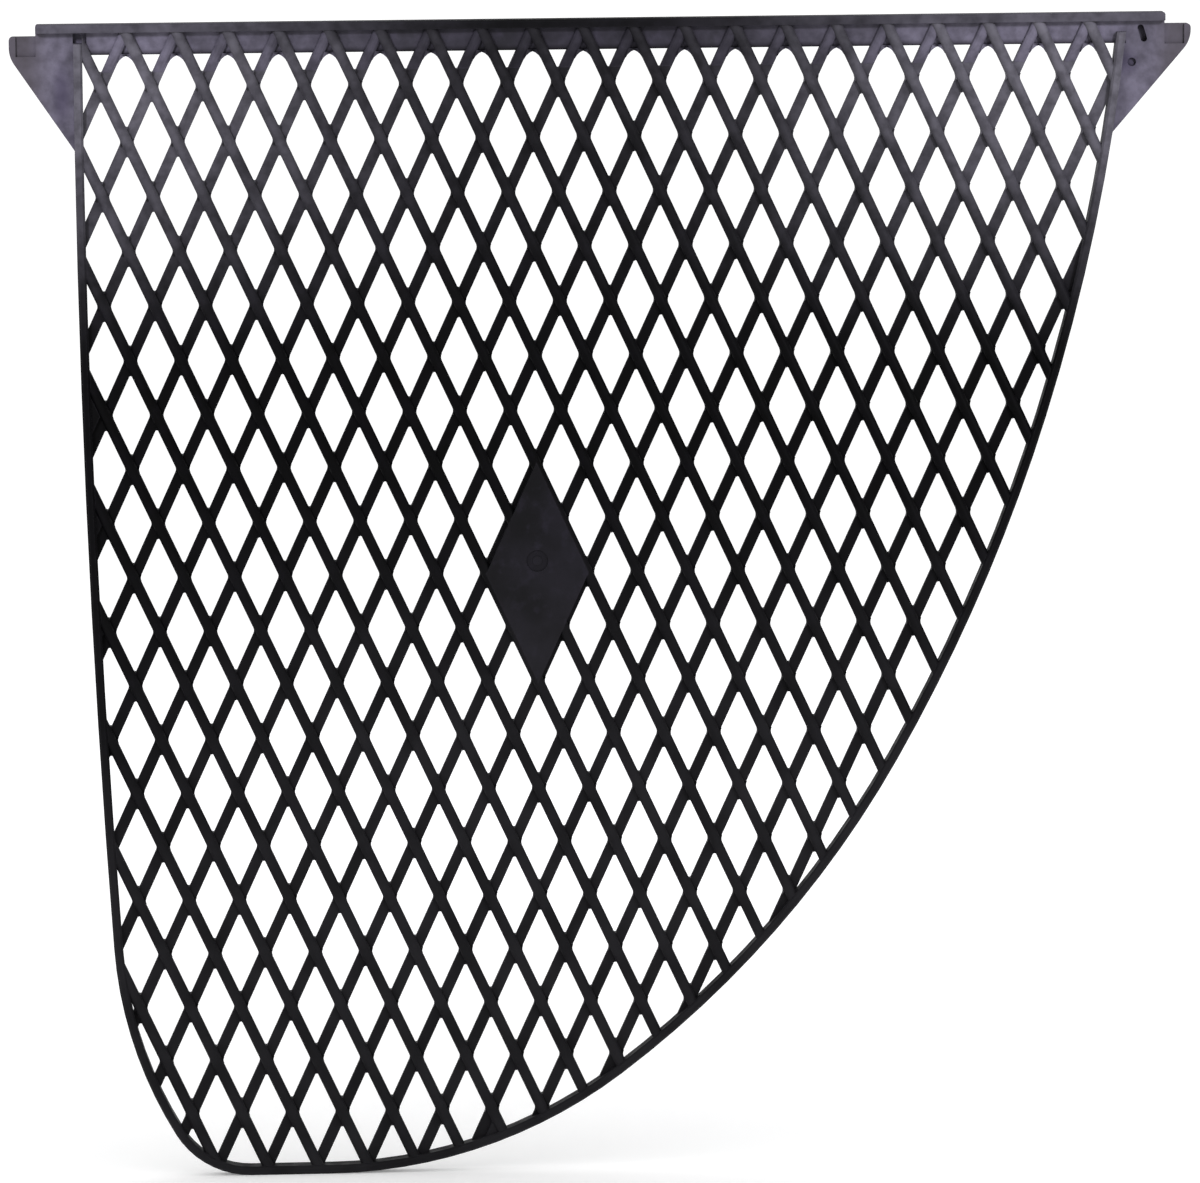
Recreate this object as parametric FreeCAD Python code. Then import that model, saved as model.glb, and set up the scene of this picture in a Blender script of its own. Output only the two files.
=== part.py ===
import FreeCAD, Part
import math
import os

# Diamond-mesh screen for a motorcycle windshield or fairing opening.
#
# Frame, in millimetres: +Z is up, +X runs along the top rail, and the front faces -Y.
# The origin is the middle of the rail's top seat, in the plane where the two layers of
# strands meet: the front strands lie at y < 0 and the back strands at y > 0.

# ---- Driving dimensions -------------------------------------------------------------

# Mesh: a cell is a diamond, measured from crossing to crossing
CELL_WIDTH = 12.0
CELL_HEIGHT = 26.0
MESH_X = -16.5             # centre of the opening in column 0, row 0
MESH_Z = -15.0
STRAND_WIDTH = 2.6
STRAND_DEPTH = 2.2
STRAND_SHOULDER = 1.3      # depth at which the flat sides turn into the crown

# Rim: its outer line runs down the left side, round the lower corner and up the sweep
RIM_WIDTH = 2.1
RIM_DEPTH = 5.0
RIM_EDGE_CHAMFER = 0.5
RIM_TOP = -4.6             # the rim's front half runs up over the rail plate to here
LEFT_TOP_X = -124.8        # where the line would reach the height of the seat
LEFT_TOP_LEAN = -0.4       # degrees inward from upright
LEFT_ARC = (3170.0, 4.0)                                                # radius, degrees
CORNER_ARCS = ((101.0, 27.3), (21.0, 59.2))
BOTTOM_LENGTH = 19.4
SWEEP_ARCS = ((117.0, 36.6), (246.0, 23.6), (419.0, 12.3), (478.0, 11.6))

# Top rail: a ledge across the top, and a plate behind the front strands
RAIL_HALF_LENGTH = 133.7
LEDGE_FRONT = -2.5
LEDGE_BACK = 2.5
LEDGE_HEIGHT = 2.0
LEDGE_EDGE_RADIUS = 0.6
PLATE_HALF_LENGTH = 124.5
PLATE_BOTTOM = -7.4
PLATE_THICKNESS = 2.5
PLATE_EDGE_RADIUS = 0.5
POCKET_X = -123.3          # deep recess under the ledge, where the plate meets the left gusset
POCKET_WIDTH = 3.2
POCKET_BOTTOM = -4.6
POCKET_DEPTH = 1.9

# Corner gussets, each with an ear outside the rail's end
EAR_TIP_X = 140.0
EAR_TOP = -2.9
EAR_TOP_RADIUS = 1.0
EAR_CORNER_RADIUS = 7.0
EAR_LIP = 1.6
EAR_RECESS_DEPTH = 0.8
EAR_RECESS_BOTTOM = -7.6
GUSSET_EDGE_RADIUS = 0.4
LEFT_EAR_CORNER = -7.7     # height at which the tip turns into the sloping edge
LEFT_FOOT = (-124.0, -31.3)
RIGHT_EAR_CORNER = -6.9
RIGHT_FOOT = (121.0, -29.0)
SLOT_CENTRE = (128.4, -5.1)
SLOT_LENGTH = 4.2
SLOT_WIDTH = 1.5
SLOT_DEPTH = 2.0
SLOT_TILT = 16.5           # degrees from upright, with the top to the left
DIMPLE_CENTRE = (125.9, -11.9)
DIMPLE_RADIUS = 1.0
DIMPLE_DEPTH = 1.0

# Centre blank: a plate over 2 x 2 cells, with the moulding gate's mark
BLANK_CROSSING = (0, 9)
BLANK_MARGIN = 0.2         # how far it goes beyond the middle lines of the strands round it
BLANK_DEPTH = 4.4
GATE_RISE = 3.0            # from the blank's middle up to the mark
GATE_RADIUS = 2.6
GATE_DEPTH = 0.5
GATE_NUB_RADIUS = 1.1
GATE_NUB_HEIGHT = 0.3

# Openings too small to mould, closed by a thin web: (column, row)
WEBBED_CELLS = ((-18, 6), (-18, 8), (-18, 10), (-2, 20))
WEB_DEPTH = 2.8

# ---- Derived values -----------------------------------------------------------------

HALF_W = CELL_WIDTH / 2
HALF_H = CELL_HEIGHT / 2
CELL_SIDE = math.hypot(HALF_W, HALF_H)
SIDE_DISTANCE = HALF_W * HALF_H / CELL_SIDE    # from a cell's centre to its sides
STRAND_COLUMNS = range(-45, 46, 2)             # crossings in row 0, well past the rim
LEAST_VOLUME = 1.0                             # smaller strand ends merge with the rim
FAR = 400.0                                    # longer than any strand
FORWARD = FreeCAD.Vector(0, -1, 0)
BACKWARD = FreeCAD.Vector(0, 1, 0)


# ---- Helpers ------------------------------------------------------------------------

def point(x, z, y=0.0):
    return FreeCAD.Vector(x, y, z)


def block(x_range, y_range, z_range):
    low = FreeCAD.Vector(x_range[0], y_range[0], z_range[0])
    high = FreeCAD.Vector(x_range[1], y_range[1], z_range[1])
    return Part.makeBox(*(high - low), low)


def prism(wire, y_range):
    """A solid between two planes of constant y over a closed wire in the plane y = 0."""
    face = Part.Face(wire)
    face.translate(FreeCAD.Vector(0, y_range[0], 0))
    return face.extrude(FreeCAD.Vector(0, y_range[1] - y_range[0], 0))


def polygon_prism(corners, y_range):
    points = [point(x, z) for x, z in corners]
    return prism(Part.makePolygon(points + points[:1]), y_range)


def rim_line(inset):
    """Edges of the rim's outer line moved inward, from the left top to the right top."""
    heading = math.radians(LEFT_TOP_LEAN - 90)
    start = point(LEFT_TOP_X - inset * math.sin(heading), inset * math.cos(heading))
    edges = []
    for radius, size in LEFT_ARC, *CORNER_ARCS, (None, BOTTOM_LENGTH), *SWEEP_ARCS:
        if radius is None:
            end = start + point(math.cos(heading), math.sin(heading)) * size
            edges.append(Part.makeLine(start, end))
        else:
            turn = math.radians(size)
            centre = start - outward(heading) * (radius - inset)
            middle, end = (centre + outward(heading + angle) * (radius - inset)
                           for angle in (turn / 2, turn))
            edges.append(Part.Arc(start, middle, end).toShape())
            heading += turn
        start = end
    return edges


def outward(heading):
    return point(math.sin(heading), -math.cos(heading))


def panel_prism(inset, y_range, top):
    """Everything inside the rim's line moved inward by inset, up to the height top."""
    edges = rim_line(inset)
    ends = edges[-1].Vertexes[-1].Point, edges[0].Vertexes[0].Point
    panel = prism(Part.Wire(edges + [Part.makeLine(*ends)]), y_range)
    return panel.common(block((-FAR, FAR), y_range, (-FAR, top)))


def diamond_prism(centre, cells, margin, y_range):
    """A diamond of cells x cells, grown by margin beyond the middle lines of its strands."""
    scale = cells + margin / SIDE_DISTANCE
    x, z = centre
    wide = scale * HALF_W
    high = scale * HALF_H
    return polygon_prism([(x - wide, z), (x, z - high), (x + wide, z), (x, z + high)], y_range)


def mesh_place(column, row):
    return MESH_X + column * HALF_W, MESH_Z - row * HALF_H


# ---- Rim and rail -------------------------------------------------------------------

def make_rim():
    half = RIM_DEPTH / 2
    rim = panel_prism(0, (-half, half), RIM_TOP)
    rim = rim.cut(panel_prism(RIM_WIDTH, (-half, half), RIM_TOP))
    rim = rim.cut(block((-FAR, FAR), (0, half), (PLATE_BOTTOM, 0)))
    long_edges = [edge for edge in rim.Edges if edge.BoundBox.YLength < 1e-6
                  and edge.BoundBox.ZMin < PLATE_BOTTOM - RIM_WIDTH]
    return rim.makeChamfer(RIM_EDGE_CHAMFER, long_edges)


def make_rail_ledge():
    ledge = block((-RAIL_HALF_LENGTH, RAIL_HALF_LENGTH), (LEDGE_FRONT, LEDGE_BACK),
                  (-LEDGE_HEIGHT, 0))
    front_upright = [edge for edge in ledge.Edges if edge.BoundBox.YMax < 0
                     and edge.BoundBox.ZLength > LEDGE_HEIGHT / 2]
    top_edges = [edge for edge in ledge.Edges if edge.BoundBox.ZMin > -LEDGE_EDGE_RADIUS]
    return ledge.makeFillet(LEDGE_EDGE_RADIUS, front_upright + top_edges)


def make_rail_plate():
    plate = block((-PLATE_HALF_LENGTH, PLATE_HALF_LENGTH), (0, PLATE_THICKNESS),
                  (PLATE_BOTTOM, -LEDGE_HEIGHT))
    lower_front = [edge for edge in plate.Edges
                   if edge.BoundBox.YMax < PLATE_THICKNESS / 2
                   and edge.BoundBox.ZMax < PLATE_BOTTOM + 1]
    return plate.makeFillet(PLATE_EDGE_RADIUS, lower_front).cut(pocket())


def pocket():
    half = POCKET_WIDTH / 2
    return block((POCKET_X - half, POCKET_X + half), (-1, POCKET_DEPTH), (POCKET_BOTTOM, 0))


# ---- Gussets ------------------------------------------------------------------------

def gusset_body(side, ear_corner, foot):
    """A triangular web with its ear, outside the rim and under the ledge."""
    rail_end = side * RAIL_HALF_LENGTH
    tip = side * EAR_TIP_X
    plate_end = side * PLATE_HALF_LENGTH
    inside = side * PLATE_HALF_LENGTH / 2
    corners = [(plate_end, -LEDGE_HEIGHT), (rail_end, -LEDGE_HEIGHT), (rail_end, EAR_TOP),
               (tip, EAR_TOP), (tip, ear_corner), foot, (inside, foot[1]),
               (inside, PLATE_BOTTOM), (plate_end, PLATE_BOTTOM)]
    body = polygon_prism(corners, (0, PLATE_THICKNESS))
    for height, radius in (EAR_TOP, EAR_TOP_RADIUS), (ear_corner, EAR_CORNER_RADIUS):
        turn = [edge for edge in body.Edges if edge.BoundBox.YLength > 1
                and abs(edge.BoundBox.XMin - tip) < 1e-6 and abs(edge.BoundBox.ZMin - height) < 1e-6]
        body = body.makeFillet(radius, turn)
    body = body.cut(panel_prism(0, (0, PLATE_THICKNESS), PLATE_BOTTOM))
    outer_front = [edge for edge in body.Edges if edge.BoundBox.YMax < 1e-6
                   and abs(edge.CenterOfMass.x) > abs(rail_end)]
    return body.makeFillet(GUSSET_EDGE_RADIUS, outer_front)


def ear_recess(side):
    """A shallow recess in the ear that leaves a lip at its tip."""
    x_range = sorted((side * RAIL_HALF_LENGTH, side * (EAR_TIP_X - EAR_LIP)))
    return block(x_range, (-1, EAR_RECESS_DEPTH), (EAR_RECESS_BOTTOM, 0))


def slot():
    """A blind slot, tilted in the gusset's plane."""
    radius = SLOT_WIDTH / 2
    half = SLOT_LENGTH / 2 - radius
    shape = block((-radius, radius), (-1, SLOT_DEPTH), (-half, half))
    for z in (-half, half):
        shape = shape.fuse(Part.makeCylinder(radius, SLOT_DEPTH + 1, point(0, z, -1), BACKWARD))
    shape.rotate(point(0, 0), BACKWARD, -SLOT_TILT)
    shape.translate(point(*SLOT_CENTRE))
    return shape


def make_left_gusset():
    body = gusset_body(-1, LEFT_EAR_CORNER, LEFT_FOOT).cut(ear_recess(-1))
    return body.cut(pocket())


def make_right_gusset():
    dimple = Part.makeCylinder(DIMPLE_RADIUS, DIMPLE_DEPTH + 1, point(*DIMPLE_CENTRE, -1), BACKWARD)
    body = gusset_body(1, RIGHT_EAR_CORNER, RIGHT_FOOT).cut(ear_recess(1))
    return body.cut(slot()).cut(dimple)


# ---- Mesh ---------------------------------------------------------------------------

def strand_bar(start, slope, facing):
    """A long crowned bar through a crossing.

    slope is -1 for a bar that falls to the right and +1 for one that rises to the right.
    facing is the direction of its crown.
    """
    along = point(HALF_W / CELL_SIDE, slope * HALF_H / CELL_SIDE)
    across = point(-along.z, along.x) * (STRAND_WIDTH / 2)
    root = point(*start) - along * FAR
    left, right = root - across, root + across
    left_shoulder, right_shoulder = (side + facing * STRAND_SHOULDER for side in (left, right))
    crown = Part.Arc(left_shoulder, root + facing * STRAND_DEPTH, right_shoulder).toShape()
    section = Part.Wire([Part.makeLine(right, left), Part.makeLine(left, left_shoulder),
                         crown, Part.makeLine(right_shoulder, right)])
    return Part.Face(section).extrude(along * (2 * FAR))


def make_layer(name, slope, facing, region):
    """The strands of one layer inside its region, numbered from the left."""
    blank = blank_prism(STRAND_DEPTH + 1)
    strands = {}
    for column in STRAND_COLUMNS:
        bar = strand_bar(mesh_place(column, 0), slope, facing)
        solids = [solid for solid in bar.common(region).cut(blank).Solids
                  if solid.Volume > LEAST_VOLUME]
        if solids:
            strands["%s_%02d" % (name, len(strands) + 1)] = Part.makeCompound(solids)
    return strands


def make_front_strands():
    """The front layer runs over the rail plate, up to the ledge."""
    region = panel_prism(RIM_WIDTH, (-STRAND_DEPTH - 1, 0), -LEDGE_HEIGHT)
    return make_layer("front_strand", -1, FORWARD, region)


def make_back_strands():
    """The back layer stops at the rail plate's lower edge."""
    region = panel_prism(RIM_WIDTH, (0, STRAND_DEPTH + 1), PLATE_BOTTOM)
    return make_layer("back_strand", 1, BACKWARD, region)


def blank_prism(half):
    """The blank's outline, which takes in the inner halves of the strands round it."""
    return diamond_prism(mesh_place(*BLANK_CROSSING), 2, BLANK_MARGIN, (-half, half))


def make_centre_blank():
    half = BLANK_DEPTH / 2
    x, z = mesh_place(*BLANK_CROSSING)
    blank = blank_prism(half)
    floor = point(x, z + GATE_RISE, GATE_DEPTH - half)
    recess = Part.makeCylinder(GATE_RADIUS, GATE_DEPTH, floor, FORWARD)
    nub = Part.makeCylinder(GATE_NUB_RADIUS, GATE_NUB_HEIGHT, floor, FORWARD)
    return blank.cut(recess).fuse(nub)


def make_edge_webs():
    half = WEB_DEPTH / 2
    region = panel_prism(RIM_WIDTH, (-half, half), PLATE_BOTTOM)
    webs = []
    for cell in WEBBED_CELLS:
        web = diamond_prism(mesh_place(*cell), 1, -STRAND_WIDTH / 2, (-half, half))
        webs += web.common(region).Solids
    return Part.makeCompound(webs)


# ---- Output -------------------------------------------------------------------------

def make_parts():
    return {
        "rim": make_rim(),
        "rail_ledge": make_rail_ledge(),
        "rail_plate": make_rail_plate(),
        "left_gusset": make_left_gusset(),
        "right_gusset": make_right_gusset(),
        "centre_blank": make_centre_blank(),
        "edge_webs": make_edge_webs(),
        **make_front_strands(),
        **make_back_strands(),
    }


os.makedirs("parts", exist_ok=True)
for name, shape in make_parts().items():
    shape.exportStep(os.path.join("parts", name + ".step"))
    print("%-16s %2d solid(s) %9.1f mm3  valid: %s"
          % (name, len(shape.Solids), shape.Volume, shape.isValid()))
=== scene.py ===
import math

import bmesh
import bpy
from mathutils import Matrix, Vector
from mathutils.bvhtree import BVHTree


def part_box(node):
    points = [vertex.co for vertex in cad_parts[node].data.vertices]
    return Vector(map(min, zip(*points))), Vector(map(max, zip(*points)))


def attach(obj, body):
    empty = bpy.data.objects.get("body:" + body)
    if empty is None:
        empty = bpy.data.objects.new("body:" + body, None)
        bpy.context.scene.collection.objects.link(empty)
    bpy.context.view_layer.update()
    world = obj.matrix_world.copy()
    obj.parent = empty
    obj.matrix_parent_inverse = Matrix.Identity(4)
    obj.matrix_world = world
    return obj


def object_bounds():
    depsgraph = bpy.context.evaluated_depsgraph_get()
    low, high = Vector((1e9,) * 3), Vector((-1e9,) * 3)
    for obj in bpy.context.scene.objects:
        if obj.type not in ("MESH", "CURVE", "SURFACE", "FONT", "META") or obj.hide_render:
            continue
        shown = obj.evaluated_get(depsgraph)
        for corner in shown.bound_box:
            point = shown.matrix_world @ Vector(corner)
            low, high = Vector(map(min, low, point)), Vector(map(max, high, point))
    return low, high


# Looks of the moulded diamond-mesh screen, in metres, in the frame of its CAD model:
# +Z up, +X along the top rail, front facing -Y.

MM = 0.001

# ---- Driving values -----------------------------------------------------------------

# Camera, given by where it looks and how far off it stands
CAMERA_AIM = Vector((-1.5, 0.0, -136.9)) * MM
CAMERA_DISTANCE = 2.0
CAMERA_AZIMUTH = -2.94        # degrees, less than zero to the left of the screen's normal
CAMERA_ELEVATION = 8.0
CAMERA_ROLL = 0.46
CAMERA_LENS = 251.4

# Mesh of strands
CELL_HALF_WIDTH = 6.0 * MM
CELL_HALF_HEIGHT = 13.0 * MM
STRAND_WIDTH = 2.6 * MM
CROSSING_COLUMNS = 24         # crossings looked for on each side of the blank,
CROSSING_ROWS = 20            # and above and below it
SIDE_FILLET = 2.0 * MM        # radius in the wide corners, left and right of a crossing
END_FILLET = 0.3 * MM         # radius in the narrow corners, above and below it
RAIL_FILLET = 3.4 * MM        # radius where the strands meet the rail plate's lower edge
FILLET_REACH = 1.2 * MM       # half of the fillets' depth
FILLET_STEPS = 4

# Ribs: low continuations of the back strands over the rail plate
RIB_DEPTH = 1.4 * MM
RIB_SHOULDER = 0.5 * MM
RIB_STEPS = 6
RIB_RUN_OUT = 4.2 * MM        # how far a rib tapers off down its strand, below the plate

# Moulding marks: shallow discs on the back, where pins pushed the part out, and a line
# round the rim, where the two halves of the mould met
PIN_RADIUS = 1.7 * MM
PIN_EDGE = 0.1 * MM
PIN_SPACING = 36.0 * MM
BLANK_PIN_OFFSET = 8.0 * MM   # from the blank's middle, up and down
PARTING_HALF_WIDTH = 0.12 * MM

# Plastic
SPECULAR = 0.045              # weak, so that the pale room does not wash out the black
EAR_START = 133.7 * MM        # the ears lie farther out than this
SHADE_PATCHES = ((-127.7, -16.5, 3.0, 10.0), (124.2, -12.0, 4.5, 4.5))      # painted shade patches on the gussets: x, z and half sizes, mm
SHEEN_MIDDLE = -8.0 * MM       # where along the rail the painted sheen of reflected light is weakest
SHEEN_SIDEWAYS = (12 * MM, 115 * MM)         # it grows over these distances from there,
SHEEN_UPWARDS = (-82 * MM, 0.0)              # and over these heights
BOUNCE_HEIGHTS = (-100 * MM, -200 * MM)       # painted light bounced from the floor grows downwards from the first to the second
BOUNCE_SHARE = 0.85
BOUNCE_LEFT_SIDE = (-120 * MM, -55 * MM)      # it is weaker at the first than at the second,
BOUNCE_LEFT_HEIGHTS = (-160 * MM, -240 * MM)  # but only above the corner
WORN_RADIUS = 0.45 * MM
FOOT_HEIGHT = 1.6 * MM        # of the shaded strip along the plate's lower edge

# Floor, and a soft spot on each upper corner
FLOOR_SIZE = 12.0
SPOT_DEGREES = 14.0
SPOT_POWER = 75.0             # watts
SPOT_RADIUS = 0.12


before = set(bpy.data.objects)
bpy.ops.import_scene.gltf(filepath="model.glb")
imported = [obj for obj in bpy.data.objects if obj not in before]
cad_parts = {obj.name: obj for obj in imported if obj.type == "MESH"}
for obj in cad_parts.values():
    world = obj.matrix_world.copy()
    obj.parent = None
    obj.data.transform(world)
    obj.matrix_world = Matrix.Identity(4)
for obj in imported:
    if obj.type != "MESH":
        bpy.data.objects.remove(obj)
cad_low, cad_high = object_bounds()


# ---- Node helpers -------------------------------------------------------------------

def add_node(tree, kind, inputs, **settings):
    node = tree.nodes.new(kind)
    for name, value in settings.items():
        setattr(node, name, value)
    for key, value in inputs.items():
        if isinstance(value, bpy.types.NodeSocket):
            tree.links.new(value, node.inputs[key])
        else:
            node.inputs[key].default_value = value
    return node


def noise(tree, place, size, detail=3.0, roughness=0.55):
    """Noise whose features are about size across."""
    inputs = {"Vector": place, "Scale": 1 / size, "Detail": detail, "Roughness": roughness}
    return add_node(tree, "ShaderNodeTexNoise", inputs).outputs[0]


def ramp(tree, value, low, high, start=0.0, end=1.0):
    """A smooth step from start to end as value goes from low to high."""
    inputs = {"Value": value, "From Min": low, "From Max": high, "To Min": start, "To Max": end}
    return add_node(tree, "ShaderNodeMapRange", inputs, interpolation_type="SMOOTHSTEP").outputs[0]


def mix(tree, share, first, second):
    inputs = {0: share, 6: first, 7: second}
    return add_node(tree, "ShaderNodeMix", inputs, data_type="RGBA").outputs[2]


def maths(tree, operation, first, second=0.0):
    return add_node(tree, "ShaderNodeMath", {0: first, 1: second}, operation=operation).outputs[0]


def measure(tree, operation, first, second=(0.0, 0.0, 0.0)):
    """The number that an operation on vectors gives."""
    inputs = {0: first, 1: second}
    return add_node(tree, "ShaderNodeVectorMath", inputs, operation=operation).outputs["Value"]


def bump(tree, height, strength, distance, normal=None):
    """A bumped normal, on top of the given one."""
    inputs = {"Height": height, "Strength": strength, "Distance": distance}
    if normal is not None:
        inputs["Normal"] = normal
    return add_node(tree, "ShaderNodeBump", inputs).outputs[0]


def grey(level, violet=0.0):
    """A grey, shifted towards violet."""
    return (level, level * (1 - violet / 3), level * (1 + violet), 1.0)


# ---- Moulded plastic ----------------------------------------------------------------

def edge_mask(tree):
    """1 on edges and corners, 0 on the flats, by how far a rounded normal leaves the real one."""
    rounded = add_node(tree, "ShaderNodeBevel", {"Radius": WORN_RADIUS}, samples=4).outputs[0]
    normal = add_node(tree, "ShaderNodeNewGeometry", {}).outputs["Normal"]
    return ramp(tree, measure(tree, "DOT_PRODUCT", rounded, normal), 0.995, 0.80)


def painted_sheen_mask(tree, parts, least):
    """Painted sheen of reflected light, strongest at the two upper corners and fading to least in
    the middle.
    """
    distance = maths(tree, "ABSOLUTE", maths(tree, "SUBTRACT", parts.outputs[0], SHEEN_MIDDLE))
    sideways = ramp(tree, distance, *SHEEN_SIDEWAYS, least, 1.0)
    upwards = ramp(tree, parts.outputs[2], *SHEEN_UPWARDS)
    return maths(tree, "MULTIPLY", sideways, upwards)


def pin_marks(tree, parts, centres):
    """0 inside the discs that ejector pins leave on the back, 1 elsewhere."""
    height = 1.0
    flat = add_node(tree, "ShaderNodeCombineXYZ", {0: parts.outputs[0], 2: parts.outputs[2]})
    for x, z in centres:
        gap = measure(tree, "DISTANCE", flat.outputs[0], (x, 0.0, z))
        edge = ramp(tree, gap, PIN_RADIUS - PIN_EDGE, PIN_RADIUS + PIN_EDGE)
        height = maths(tree, "MULTIPLY", height, edge)
    front = ramp(tree, parts.outputs[1], 1.6 * MM, 1.2 * MM)
    return maths(tree, "MAXIMUM", height, front)


def parting_line(tree, parts):
    """1 along the parting line, 0 elsewhere."""
    distance = maths(tree, "ABSOLUTE", parts.outputs[1])
    return ramp(tree, distance, PARTING_HALF_WIDTH, 0.0)


def with_floor_bounce(tree, parts, clouds, colour):
    """Painted light bounced from the floor: paler towards the bottom, weaker along the left side
    above the corner.
    """
    height = ramp(tree, parts.outputs[2], *BOUNCE_HEIGHTS, 0.0, BOUNCE_SHARE)
    patches = ramp(tree, clouds, 0.3, 0.7, 0.55, 1.0)
    left_side = ramp(tree, parts.outputs[2], *BOUNCE_LEFT_HEIGHTS, 0.4, 1.0)
    sideways = ramp(tree, parts.outputs[0], *BOUNCE_LEFT_SIDE, left_side, 1.0)
    share = maths(tree, "MULTIPLY", maths(tree, "MULTIPLY", height, patches), sideways)
    return mix(tree, share, colour, grey(0.018, 0.1))


def painted_shade_patches(tree, parts):
    """Painted shade in soft dark patches on the gussets, 0 to 1."""
    share = 0.0
    for x, z, half_width, half_height in SHADE_PATCHES:
        across = maths(tree, "SUBTRACT", parts.outputs[0], x * MM)
        up = maths(tree, "SUBTRACT", parts.outputs[2], z * MM)
        offset = add_node(tree, "ShaderNodeCombineXYZ", {
            0: maths(tree, "DIVIDE", across, half_width * MM),
            1: maths(tree, "DIVIDE", up, half_height * MM)})
        reach = measure(tree, "LENGTH", offset.outputs[0])
        share = maths(tree, "MAXIMUM", share, ramp(tree, reach, 1.0, 0.15))
    return share


def make_plastic(name, body, sheen_grey, gloss, tint=0.22, pins=(), parting=False, painted_recess_shade=False,
                 ears=False, dark_foot=None, least_sheen=0.14):
    """Satin moulded plastic: mottled, grained and worn at the edges, with painted light on it: a
    sheen at the upper corners, light bounced from the floor lower down, and shade in places.

    body and sheen_grey are the grey levels of the clean plastic and of its painted sheen, tint is
    how far the sheen goes towards violet, and gloss is the middle of the roughness.
    """
    material = bpy.data.materials.new(name)
    material.use_nodes = True
    tree = material.node_tree
    shader = tree.nodes["Principled BSDF"]
    place = add_node(tree, "ShaderNodeTexCoord", {}).outputs["Object"]
    parts = add_node(tree, "ShaderNodeSeparateXYZ", {0: place})

    clouds = noise(tree, place, 14 * MM, 4)
    blotches = noise(tree, place, 3.2 * MM, 3)
    speckle = noise(tree, place, 0.7 * MM, 2)
    grain = noise(tree, place, 0.28 * MM, 2)

    dark, light = grey(body * 0.7, 0.10), grey(body * 1.3, 0.25)
    mottled = mix(tree, ramp(tree, clouds, 0.35, 0.68), dark, light)
    mottled = mix(tree, ramp(tree, blotches, 0.5, 0.75, 0, 0.5), mottled, grey(body * 2.2, 0.35))
    # Painted light bounced from the floor, paler towards the bottom
    mottled = with_floor_bounce(tree, parts, clouds, mottled)
    # Painted sheen of reflected light towards the upper corners, patchy
    sheen = painted_sheen_mask(tree, parts, least_sheen)
    sheen = maths(tree, "MULTIPLY", sheen, ramp(tree, blotches, 0.25, 0.7, 0.55, 1.0))
    sheen = maths(tree, "MULTIPLY", sheen, ramp(tree, clouds, 0.3, 0.7, 0.65, 1.0))
    colour = mix(tree, sheen, mottled, grey(sheen_grey, tint))
    wear = maths(tree, "MULTIPLY", edge_mask(tree), ramp(tree, speckle, 0.35, 0.65, 0.25, 1.0))
    colour = mix(tree, maths(tree, "MULTIPLY", wear, 0.3), colour, grey(sheen_grey * 0.3, 0.15))
    # Painted shade in a strip along the rail plate's lower edge
    if dark_foot is not None:
        foot = ramp(tree, parts.outputs[2], dark_foot + FOOT_HEIGHT, dark_foot, 0.0, 0.75)
        colour = mix(tree, foot, colour, grey(body * 0.2))
    if ears:
        reach = maths(tree, "ABSOLUTE", parts.outputs[0])
        share = ramp(tree, reach, EAR_START - 4.5 * MM, EAR_START + 2.5 * MM, 0.0, 0.7)
        colour = mix(tree, share, colour, (sheen_grey * 0.36, sheen_grey * 0.32, sheen_grey * 0.34, 1.0))
        # Painted shade in soft patches on the gussets
        patch_shade = maths(tree, "MULTIPLY", painted_shade_patches(tree, parts), 0.6)
        colour = mix(tree, patch_shade, colour, grey(sheen_grey * 0.3, 0.5))
    # Painted shade in recesses and crevices, from ambient occlusion
    if painted_recess_shade:
        open_sky = add_node(tree, "ShaderNodeAmbientOcclusion", {"Distance": 2.0 * MM},
                            only_local=True, samples=8)
        colour = mix(tree, ramp(tree, open_sky.outputs["AO"], 0.42, 0.2), colour, grey(body * 0.1))

    edge_on = add_node(tree, "ShaderNodeLayerWeight", {"Blend": 0.5}).outputs["Facing"]
    roughness = ramp(tree, blotches, 0.3, 0.7, gloss - 0.07, gloss + 0.10)
    tree.links.new(colour, shader.inputs["Base Color"])
    tree.links.new(roughness, shader.inputs["Roughness"])
    tree.links.new(ramp(tree, edge_on, 0.45, 0.9, SPECULAR, SPECULAR * 0.25),
                   shader.inputs["Specular IOR Level"])

    normal = bump(tree, clouds, 0.5, 0.15 * MM)
    normal = bump(tree, speckle, 0.35, 0.03 * MM, normal)
    normal = bump(tree, grain, 0.4, 0.02 * MM, normal)
    if pins:
        normal = bump(tree, pin_marks(tree, parts, pins), 0.9, 0.25 * MM, normal)
    if parting:
        normal = bump(tree, parting_line(tree, parts), 0.8, 0.1 * MM, normal)
    tree.links.new(normal, shader.inputs["Normal"])
    return material


def plate_pins():
    low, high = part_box("rail_plate")
    count = int((high.x - low.x) / PIN_SPACING)
    first = -(count - 1) / 2 * PIN_SPACING
    return [(first + index * PIN_SPACING, (low.z + high.z) / 2) for index in range(count)]


def gusset_pin(node):
    """A mark near the middle of a gusset's web, nearer to the rail than to its foot."""
    low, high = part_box(node)
    return (low.x + high.x) / 2, high.z + (low.z - high.z) * 0.3


blank_low, blank_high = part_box("centre_blank")
BLANK_MIDDLE = (blank_low + blank_high) / 2

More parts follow.
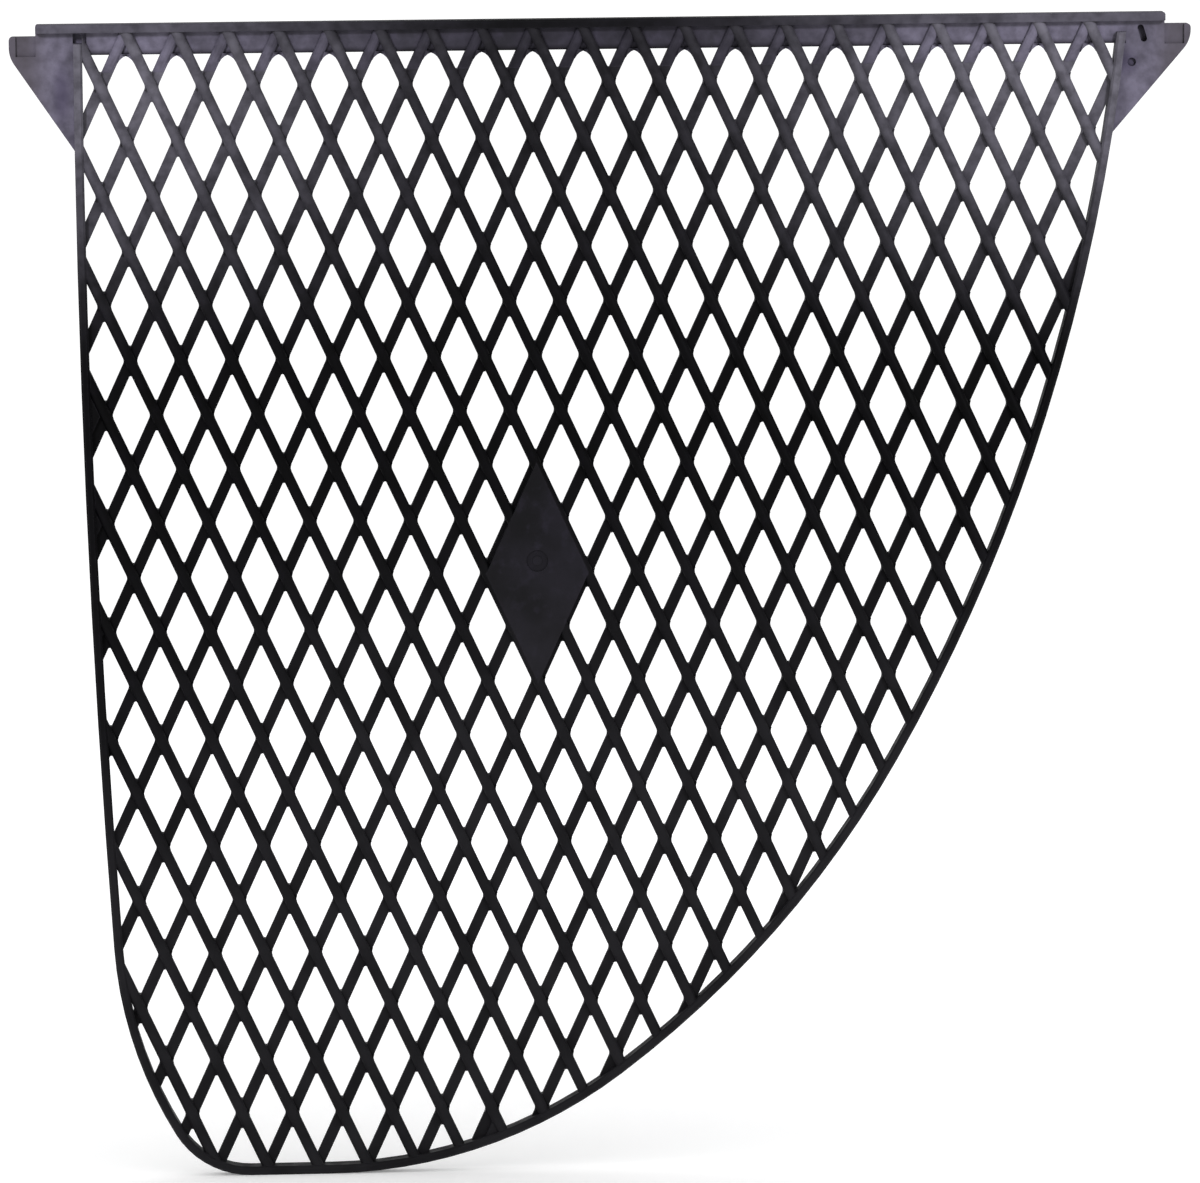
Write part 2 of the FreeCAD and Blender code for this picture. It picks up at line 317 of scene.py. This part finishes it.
MATERIALS = {
    "strand": make_plastic("strand_plastic", 0.0014, 0.118, 0.46, tint=0.13),
    "rim": make_plastic("rim_plastic", 0.0014, 0.125, 0.46, tint=0.13, parting=True),
    "blank": make_plastic("blank_plastic", 0.0085, 0.06, 0.40,
                          pins=[(BLANK_MIDDLE.x, BLANK_MIDDLE.z + BLANK_PIN_OFFSET),
                                (BLANK_MIDDLE.x, BLANK_MIDDLE.z - BLANK_PIN_OFFSET)]),
    # The plate's body is lighter than the strands': painted light on the band
    "plate": make_plastic("plate_plastic", 0.014, 0.15, 0.48, pins=plate_pins(), painted_recess_shade=True,
                          dark_foot=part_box("rail_plate")[0].z),
    # The gussets' body is lighter than the strands': painted light on the upper corners
    "gusset": make_plastic("gusset_plastic", 0.012, 0.13, 0.48, painted_recess_shade=True, ears=True,
                           pins=[gusset_pin("left_gusset"), gusset_pin("right_gusset")]),
    "rib": make_plastic("rib_plastic", 0.007, 0.135, 0.47),
    # The ledge's body is darker than the plate's: painted shade on its face
    "ledge": make_plastic("ledge_plastic", 0.0015, 0.08, 0.52, tint=0.16, least_sheen=0.05),
}
MATERIAL_OF = {"rim": "rim", "edge_webs": "rim", "centre_blank": "blank", "rail_plate": "plate",
               "rail_ledge": "ledge", "left_gusset": "gusset", "right_gusset": "gusset"}


# ---- CAD nodes ----------------------------------------------------------------------

def dress_nodes():
    for name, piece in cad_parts.items():
        for slot in piece.material_slots:
            slot.material = MATERIALS[MATERIAL_OF.get(name, "strand")]


# ---- Fillets round the openings -----------------------------------------------------

def layer_tree(starts):
    """A tree for ray casts, of all the nodes whose names begin with one of starts."""
    points = []
    faces = []
    for name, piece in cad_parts.items():
        if name.startswith(starts):
            first = len(points)
            points += [vertex.co.copy() for vertex in piece.data.vertices]
            faces += [[first + index for index in face.vertices] for face in piece.data.polygons]
    return BVHTree.FromPolygons(points, faces)


def crossings():
    """Where a front strand and a back strand cross, counted from the middle of the blank."""
    front = layer_tree(("front_strand", "centre_blank"))
    back = layer_tree(("back_strand", "centre_blank"))
    away = Vector((0, 0.05, 0))
    found = []
    for column in range(-CROSSING_COLUMNS, CROSSING_COLUMNS + 1):
        for row in range(-CROSSING_ROWS, CROSSING_ROWS + 1):
            if (column + row) % 2:
                continue
            place = Vector((BLANK_MIDDLE.x + column * CELL_HALF_WIDTH, 0,
                            BLANK_MIDDLE.z + row * CELL_HALF_HEIGHT))
            if front.ray_cast(place - away, away)[0] and back.ray_cast(place + away, -away)[0]:
                found.append(place)
    return found


def inside_rim(rim, place):
    return all(rim.ray_cast(place, Vector((side, 0, 0)))[0] for side in (-1, 1))


def direction(angle):
    """A unit vector in the XZ plane, at an angle from +X."""
    return Vector((math.cos(angle), 0, math.sin(angle)))


def add_fillet(mesh, rim_tree, corner, angle, half_angle, radius):
    """Rounds a corner of an opening. angle points from the corner into the opening's middle."""
    centre = corner + direction(angle) * (radius / math.sin(half_angle))
    if not (inside_rim(rim_tree, corner) and inside_rim(rim_tree, centre)):
        return
    sweep = math.pi / 2 - half_angle
    outline = [corner - direction(angle) * 0.3 * MM]
    for step in range(FILLET_STEPS + 1):
        turn = math.pi - sweep + 2 * sweep * step / FILLET_STEPS
        outline.append(centre + direction(angle + turn) * radius)
    front, back = ([mesh.verts.new(point + Vector((0, y, 0))) for point in outline]
                   for y in (-FILLET_REACH, FILLET_REACH))
    count = len(outline)
    for index in range(count):
        following = (index + 1) % count
        mesh.faces.new((front[index], front[following], back[following], back[index]))
    for index in range(1, count - 1):
        mesh.faces.new((front[0], front[index + 1], front[index]))
        mesh.faces.new((back[0], back[index], back[index + 1]))


def finish_piece(mesh, name, material):
    """Turns a bmesh into a piece that rides with the screen."""
    bmesh.ops.recalc_face_normals(mesh, faces=mesh.faces)
    data = bpy.data.meshes.new(name)
    mesh.to_mesh(data)
    mesh.free()
    piece = bpy.data.objects.new(name, data)
    bpy.context.scene.collection.objects.link(piece)
    data.materials.append(MATERIALS[material])
    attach(piece, "root")


def make_crossing_fillets():
    steep = math.atan2(CELL_HALF_HEIGHT, CELL_HALF_WIDTH)
    rim_tree = layer_tree("rim")
    mesh = bmesh.new()
    for place in crossings():
        for angle, half_angle, radius in ((0, steep, SIDE_FILLET), (math.pi, steep, SIDE_FILLET),
                                          (math.pi / 2, math.pi / 2 - steep, END_FILLET),
                                          (-math.pi / 2, math.pi / 2 - steep, END_FILLET)):
            corner = place + direction(angle) * (STRAND_WIDTH / 2 / math.sin(half_angle))
            add_fillet(mesh, rim_tree, corner, angle, half_angle, radius)
    finish_piece(mesh, "crossing_fillets", "strand")


def make_rail_fillets():
    """Rounds the tops of the openings that the rail plate cuts short."""
    steep = math.atan2(CELL_HALF_HEIGHT, CELL_HALF_WIDTH)
    half_angle = (math.pi - steep) / 2
    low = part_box("rail_plate")[0]
    rows = math.ceil((low.z - BLANK_MIDDLE.z) / (2 * CELL_HALF_HEIGHT)) * 2
    apex_z = BLANK_MIDDLE.z + rows * CELL_HALF_HEIGHT - STRAND_WIDTH / 2 / math.cos(steep)
    half_top = (apex_z - low.z) / math.tan(steep)
    rim_tree = layer_tree("rim")
    mesh = bmesh.new()
    for column in range(-CROSSING_COLUMNS, CROSSING_COLUMNS + 1, 2):
        x = BLANK_MIDDLE.x + column * CELL_HALF_WIDTH
        for side, angle in ((-1, -half_angle), (1, half_angle - math.pi)):
            corner = Vector((x + side * half_top, 0, low.z))
            add_fillet(mesh, rim_tree, corner, angle, half_angle, RAIL_FILLET)
    finish_piece(mesh, "rail_fillets", "rib")


# ---- Ribs ---------------------------------------------------------------------------

def rib_ring(mesh, place, along, scale):
    """The rib's crowned section at a place on its line, cut level, with its depth scaled."""
    across = Vector((-along.z, 0, along.x)) * (STRAND_WIDTH / 2)
    section = [-across, across]
    for step in range(RIB_STEPS + 1):
        angle = math.pi * step / RIB_STEPS
        rise = RIB_SHOULDER + (RIB_DEPTH - RIB_SHOULDER) * math.sin(angle)
        section.append(across * math.cos(angle) + Vector((0, -rise * scale, 0)))
    return [mesh.verts.new(place + offset - along * (offset.z / along.z)) for offset in section]


def make_plate_ribs():
    """Each back strand carries on over the rail plate's face as a low rib, up to the ledge.

    At its lower end the rib tapers off on the front of the strand.
    """
    low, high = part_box("rail_plate")
    along = Vector((CELL_HALF_WIDTH, 0, CELL_HALF_HEIGHT)).normalized()
    lean = CELL_HALF_WIDTH / CELL_HALF_HEIGHT
    start_x = BLANK_MIDDLE.x + (low.z - BLANK_MIDDLE.z) * lean
    margin = STRAND_WIDTH
    mesh = bmesh.new()
    for column in range(-CROSSING_COLUMNS, CROSSING_COLUMNS + 1):
        foot = Vector((start_x + 2 * column * CELL_HALF_WIDTH, 0, low.z))
        tip = foot + along * ((high.z - low.z) / along.z)
        if foot.x - margin > low.x and tip.x + margin < high.x:
            start = foot - along * (RIB_RUN_OUT / along.z)
            rings = [rib_ring(mesh, place, along, scale)
                     for place, scale in ((start, 0.03), (foot, 1.0), (tip, 1.0))]
            count = len(rings[0])
            for ring, above in zip(rings, rings[1:]):
                for index in range(count):
                    following = (index + 1) % count
                    mesh.faces.new((ring[index], ring[following], above[following], above[index]))
            mesh.faces.new(rings[0])
            mesh.faces.new(rings[-1][::-1])
    finish_piece(mesh, "plate_ribs", "rib")


# ---- Floor, light and camera --------------------------------------------------------

def make_floor():
    material = bpy.data.materials.new("floor_paper")
    material.use_nodes = True
    tree = material.node_tree
    shader = tree.nodes["Principled BSDF"]
    place = add_node(tree, "ShaderNodeTexCoord", {}).outputs["Object"]
    shade = mix(tree, noise(tree, place, 0.4, 2), (0.92, 0.92, 0.925, 1), (0.95, 0.95, 0.95, 1))
    tree.links.new(shade, shader.inputs["Base Color"])
    shader.inputs["Roughness"].default_value = 0.9
    shader.inputs["Specular IOR Level"].default_value = 0.1
    shader.inputs["Emission Color"].default_value = (1, 1, 1, 1)
    shader.inputs["Emission Strength"].default_value = 0.18
    half = FLOOR_SIZE / 2
    data = bpy.data.meshes.new("floor")
    corners = [(-half, -half, 0), (half, -half, 0), (half, half, 0), (-half, half, 0)]
    data.from_pydata(corners, [], [(0, 1, 2, 3)])
    data.materials.append(material)
    floor = bpy.data.objects.new("floor", data)
    floor.location.z = cad_low.z
    bpy.context.scene.collection.objects.link(floor)


def aim(thing, target):
    thing.rotation_euler = (target - thing.location).to_track_quat("-Z", "Y").to_euler()


def add_spot(name, place, target, colour):
    data = bpy.data.lights.new(name, "SPOT")
    data.spot_size = math.radians(SPOT_DEGREES)
    data.spot_blend = 1.0
    data.shadow_soft_size = SPOT_RADIUS
    data.energy = SPOT_POWER
    data.color = colour
    lamp = bpy.data.objects.new(name, data)
    lamp.location = place
    aim(lamp, target)
    bpy.context.scene.collection.objects.link(lamp)


def make_lights():
    world = bpy.data.worlds.new("studio")
    world.use_nodes = True
    backdrop = world.node_tree.nodes["Background"]
    backdrop.inputs["Color"].default_value = (1, 1, 1, 1)
    backdrop.inputs["Strength"].default_value = 1.0
    bpy.context.scene.world = world
    violet = (0.92, 0.9, 1.0)
    for side, name in ((-1, "left_spot"), (1, "right_spot")):
        place = Vector((side * 0.55, -1.0, 0.45))
        upper_corner = Vector((side * 0.14, 0, -0.005))
        add_spot(name, place, upper_corner, violet)


def make_camera():
    data = bpy.data.cameras.new("camera")
    data.lens = CAMERA_LENS
    data.sensor_width = 36.0
    data.clip_start = 0.05
    data.clip_end = 50
    camera = bpy.data.objects.new("camera", data)
    azimuth = math.radians(CAMERA_AZIMUTH)
    elevation = math.radians(CAMERA_ELEVATION)
    away = Vector((math.sin(azimuth) * math.cos(elevation),
                   -math.cos(azimuth) * math.cos(elevation),
                   math.sin(elevation)))
    camera.location = CAMERA_AIM + away * CAMERA_DISTANCE
    camera.rotation_euler = (-away).to_track_quat("-Z", "Y").to_euler()
    camera.rotation_euler.rotate_axis("Z", -math.radians(CAMERA_ROLL))
    bpy.context.scene.collection.objects.link(camera)
    bpy.context.scene.camera = camera


dress_nodes()
make_crossing_fillets()
make_rail_fillets()
make_plate_ribs()
make_floor()
make_lights()
make_camera()
bpy.context.scene.view_settings.view_transform = "Standard"
